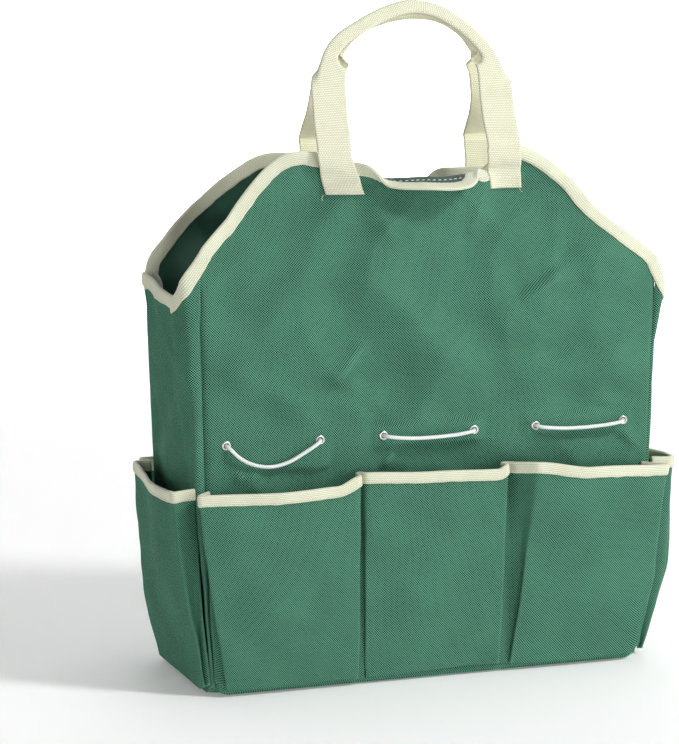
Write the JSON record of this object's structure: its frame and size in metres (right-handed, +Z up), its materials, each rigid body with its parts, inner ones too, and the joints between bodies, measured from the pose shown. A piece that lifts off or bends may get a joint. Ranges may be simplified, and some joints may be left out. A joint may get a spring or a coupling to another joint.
{
  "type": "garden tool bag",
  "caption": "Open-topped garden tool tote of green cloth with bound edges, pleated outer pockets, elastic tool loops in eyelets and two webbing handles.",
  "frame": {"origin": "middle of the underside, on the surface the bag stands on", "axes": "+Z up, the front face looks along -Y, +X to the right as the front is seen"},
  "size_m": [0.4234, 0.1716, 0.5374],
  "materials": {
    "body_fabric": "coated polyester twill, outside",
    "lining_fabric": "smooth coated inner face",
    "binding_tape": "ribbed cream binding tape",
    "handle_webbing": "cream woven webbing",
    "seam_tape": "pale woven seam tape",
    "elastic_cord": "white braided elastic cord",
    "eyelet_metal": "polished nickel plate",
    "base_board": "stiff plastic sheet"
  },
  "bodies": {
    "root": {"front_panel": "body_fabric", "back_panel": "body_fabric", "left_gusset": "body_fabric", "right_gusset": "body_fabric", "bottom_panel": "body_fabric", "front_pocket_panel": "body_fabric", "back_pocket_panel": "body_fabric", "left_side_pocket": "body_fabric", "right_side_pocket": "body_fabric", "base_lining": "lining_fabric", "base_board": "base_board", "front_rim_binding": "binding_tape", "back_rim_binding": "binding_tape", "left_gusset_binding": "binding_tape", "right_gusset_binding": "binding_tape", "front_pocket_binding": "binding_tape", "back_pocket_binding": "binding_tape", "left_side_pocket_binding": "binding_tape", "right_side_pocket_binding": "binding_tape", "front_left_seam_tape": "seam_tape", "front_right_seam_tape": "seam_tape", "front_eyelets": "eyelet_metal", "front_cord_knots": "elastic_cord", "front_handle_ends": "handle_webbing", "back_left_seam_tape": "seam_tape", "back_right_seam_tape": "seam_tape", "back_eyelets": "eyelet_metal", "back_cord_knots": "elastic_cord", "back_handle_ends": "handle_webbing"},
    "front_handle": {"front_handle": "handle_webbing"},
    "front_left_cord": {"front_left_cord": "elastic_cord"},
    "front_middle_cord": {"front_middle_cord": "elastic_cord"},
    "front_right_cord": {"front_right_cord": "elastic_cord"},
    "back_handle": {"back_handle": "handle_webbing"},
    "back_left_cord": {"back_left_cord": "elastic_cord"},
    "back_middle_cord": {"back_middle_cord": "elastic_cord"},
    "back_right_cord": {"back_right_cord": "elastic_cord"}
  },
  "joints": [
    {"name": "front_handle_swing", "type": "hinge", "parent": "root", "child": "front_handle", "pos_m": [0, -0.05704, 0.42161], "axis": [1, 0, 0], "range_deg": [0, 190]},
    {"name": "back_handle_swing", "type": "hinge", "parent": "root", "child": "back_handle", "pos_m": [0, 0.05704, 0.42161], "axis": [-1, 0, 0], "range_deg": [0, 190]},
    {"name": "front_left_cord_stretch", "type": "slide", "parent": "root", "child": "front_left_cord", "axis": [0, -0.9993, 0.0381], "range_m": [0, 0.02], "stiffness_N_per_m": 40, "deforming": ["front_left_cord"]},
    {"name": "front_middle_cord_stretch", "type": "slide", "parent": "root", "child": "front_middle_cord", "axis": [0, -0.9993, 0.0381], "range_m": [0, 0.02], "stiffness_N_per_m": 40, "deforming": ["front_middle_cord"]},
    {"name": "front_right_cord_stretch", "type": "slide", "parent": "root", "child": "front_right_cord", "axis": [0, -0.9993, 0.0381], "range_m": [0, 0.02], "stiffness_N_per_m": 40, "deforming": ["front_right_cord"]},
    {"name": "back_left_cord_stretch", "type": "slide", "parent": "root", "child": "back_left_cord", "axis": [0, 0.9993, 0.0381], "range_m": [0, 0.02], "stiffness_N_per_m": 40, "deforming": ["back_left_cord"]},
    {"name": "back_middle_cord_stretch", "type": "slide", "parent": "root", "child": "back_middle_cord", "axis": [0, 0.9993, 0.0381], "range_m": [0, 0.02], "stiffness_N_per_m": 40, "deforming": ["back_middle_cord"]},
    {"name": "back_right_cord_stretch", "type": "slide", "parent": "root", "child": "back_right_cord", "axis": [0, 0.9993, 0.0381], "range_m": [0, 0.02], "stiffness_N_per_m": 40, "deforming": ["back_right_cord"]}
  ]
}
